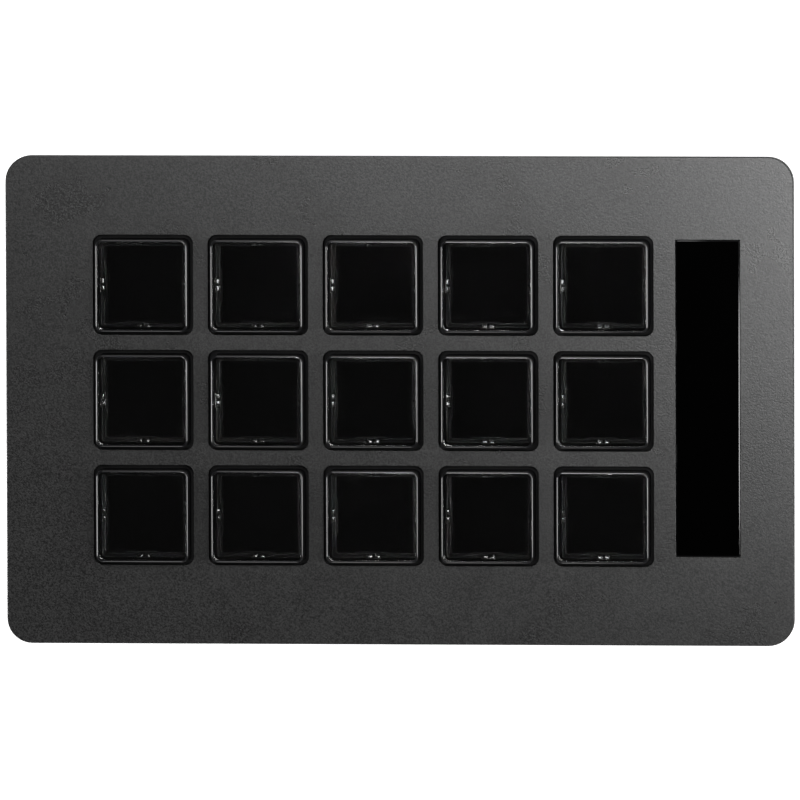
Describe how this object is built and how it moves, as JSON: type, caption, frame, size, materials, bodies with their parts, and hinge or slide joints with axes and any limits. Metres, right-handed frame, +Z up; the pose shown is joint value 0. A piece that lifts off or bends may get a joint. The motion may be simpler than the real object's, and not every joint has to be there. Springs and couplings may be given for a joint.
{
  "type": "stream controller",
  "caption": "Flat desk controller: clear square keys in rows over one display, a display strip at the right, a tapered housing on rubber feet and a USB-C socket at the rear.",
  "frame": {"origin": "centre of the plate's footprint, on the desk that the feet stand on", "axes": "+X to the right along the rows of keys, +Y to the rear where the socket is, +Z up through the keys"},
  "size_m": [0.13, 0.0804, 0.025],
  "materials": {
    "faceplate": "fine spark texture, matte",
    "shell": "moulded, matte",
    "key_black": "moulded, glossy rim",
    "key_clear": "clear, polished",
    "black_glass": "polished, printed black behind",
    "inner_plastic": "moulded",
    "silicone": "moulded silicone",
    "foam": "foam tape",
    "board": "solder mask",
    "black_board": "black solder mask",
    "display_glass": "display, off",
    "backlight": "light guide",
    "sheet_steel": "zinc plated",
    "plated_screw": "nickel plated",
    "black_screw": "black oxide",
    "film": "polyimide film",
    "chip": "moulded epoxy",
    "socket_plastic": "moulded nylon",
    "socket_metal": "drawn and plated",
    "foot_rubber": "matte rubber"
  },
  "bodies": {
    "case": {"top_plate": "faceplate", "strip_window": "black_glass", "window_tape": "foam", "housing": "shell", "bottom_cover": "shell", "rubber_feet": "foot_rubber", "cover_screws": "black_screw", "key_guide": "inner_plastic", "dome_mat": "silicone", "contact_board": "black_board", "lcd_gasket": "foam", "lcd_panel": "display_glass", "lcd_backlight": "backlight", "lcd_tray": "sheet_steel", "support_plate": "sheet_steel", "stack_screws": "plated_screw", "insulator_sheet": "film", "lcd_ribbon": "film", "contact_ribbon": "film", "main_board": "board", "board_chips": "chip", "ribbon_sockets": "socket_plastic", "usb_socket": "socket_metal", "usb_tongue": "chip", "board_screws": "plated_screw"},
    "key_11": {"key_frame_11": "key_black", "key_lens_11": "key_clear"},
    "key_12": {"key_frame_12": "key_black", "key_lens_12": "key_clear"},
    "key_13": {"key_frame_13": "key_black", "key_lens_13": "key_clear"},
    "key_14": {"key_frame_14": "key_black", "key_lens_14": "key_clear"},
    "key_15": {"key_frame_15": "key_black", "key_lens_15": "key_clear"},
    "key_21": {"key_frame_21": "key_black", "key_lens_21": "key_clear"},
    "key_22": {"key_frame_22": "key_black", "key_lens_22": "key_clear"},
    "key_23": {"key_frame_23": "key_black", "key_lens_23": "key_clear"},
    "key_24": {"key_frame_24": "key_black", "key_lens_24": "key_clear"},
    "key_25": {"key_frame_25": "key_black", "key_lens_25": "key_clear"},
    "key_31": {"key_frame_31": "key_black", "key_lens_31": "key_clear"},
    "key_32": {"key_frame_32": "key_black", "key_lens_32": "key_clear"},
    "key_33": {"key_frame_33": "key_black", "key_lens_33": "key_clear"},
    "key_34": {"key_frame_34": "key_black", "key_lens_34": "key_clear"},
    "key_35": {"key_frame_35": "key_black", "key_lens_35": "key_clear"}
  },
  "joints": [
    {"name": "press_11", "type": "slide", "parent": "case", "child": "key_11", "axis": [0, 0, -1], "range_m": [0, 0.0015], "stiffness_N_per_m": 250, "springref_m": -0.0008, "deforming": ["dome_mat"]},
    {"name": "press_12", "type": "slide", "parent": "case", "child": "key_12", "axis": [0, 0, -1], "range_m": [0, 0.0015], "stiffness_N_per_m": 250, "springref_m": -0.0008, "deforming": ["dome_mat"]},
    {"name": "press_13", "type": "slide", "parent": "case", "child": "key_13", "axis": [0, 0, -1], "range_m": [0, 0.0015], "stiffness_N_per_m": 250, "springref_m": -0.0008, "deforming": ["dome_mat"]},
    {"name": "press_14", "type": "slide", "parent": "case", "child": "key_14", "axis": [0, 0, -1], "range_m": [0, 0.0015], "stiffness_N_per_m": 250, "springref_m": -0.0008, "deforming": ["dome_mat"]},
    {"name": "press_15", "type": "slide", "parent": "case", "child": "key_15", "axis": [0, 0, -1], "range_m": [0, 0.0015], "stiffness_N_per_m": 250, "springref_m": -0.0008, "deforming": ["dome_mat"]},
    {"name": "press_21", "type": "slide", "parent": "case", "child": "key_21", "axis": [0, 0, -1], "range_m": [0, 0.0015], "stiffness_N_per_m": 250, "springref_m": -0.0008, "deforming": ["dome_mat"]},
    {"name": "press_22", "type": "slide", "parent": "case", "child": "key_22", "axis": [0, 0, -1], "range_m": [0, 0.0015], "stiffness_N_per_m": 250, "springref_m": -0.0008, "deforming": ["dome_mat"]},
    {"name": "press_23", "type": "slide", "parent": "case", "child": "key_23", "axis": [0, 0, -1], "range_m": [0, 0.0015], "stiffness_N_per_m": 250, "springref_m": -0.0008, "deforming": ["dome_mat"]},
    {"name": "press_24", "type": "slide", "parent": "case", "child": "key_24", "axis": [0, 0, -1], "range_m": [0, 0.0015], "stiffness_N_per_m": 250, "springref_m": -0.0008, "deforming": ["dome_mat"]},
    {"name": "press_25", "type": "slide", "parent": "case", "child": "key_25", "axis": [0, 0, -1], "range_m": [0, 0.0015], "stiffness_N_per_m": 250, "springref_m": -0.0008, "deforming": ["dome_mat"]},
    {"name": "press_31", "type": "slide", "parent": "case", "child": "key_31", "axis": [0, 0, -1], "range_m": [0, 0.0015], "stiffness_N_per_m": 250, "springref_m": -0.0008, "deforming": ["dome_mat"]},
    {"name": "press_32", "type": "slide", "parent": "case", "child": "key_32", "axis": [0, 0, -1], "range_m": [0, 0.0015], "stiffness_N_per_m": 250, "springref_m": -0.0008, "deforming": ["dome_mat"]},
    {"name": "press_33", "type": "slide", "parent": "case", "child": "key_33", "axis": [0, 0, -1], "range_m": [0, 0.0015], "stiffness_N_per_m": 250, "springref_m": -0.0008, "deforming": ["dome_mat"]},
    {"name": "press_34", "type": "slide", "parent": "case", "child": "key_34", "axis": [0, 0, -1], "range_m": [0, 0.0015], "stiffness_N_per_m": 250, "springref_m": -0.0008, "deforming": ["dome_mat"]},
    {"name": "press_35", "type": "slide", "parent": "case", "child": "key_35", "axis": [0, 0, -1], "range_m": [0, 0.0015], "stiffness_N_per_m": 250, "springref_m": -0.0008, "deforming": ["dome_mat"]}
  ]
}
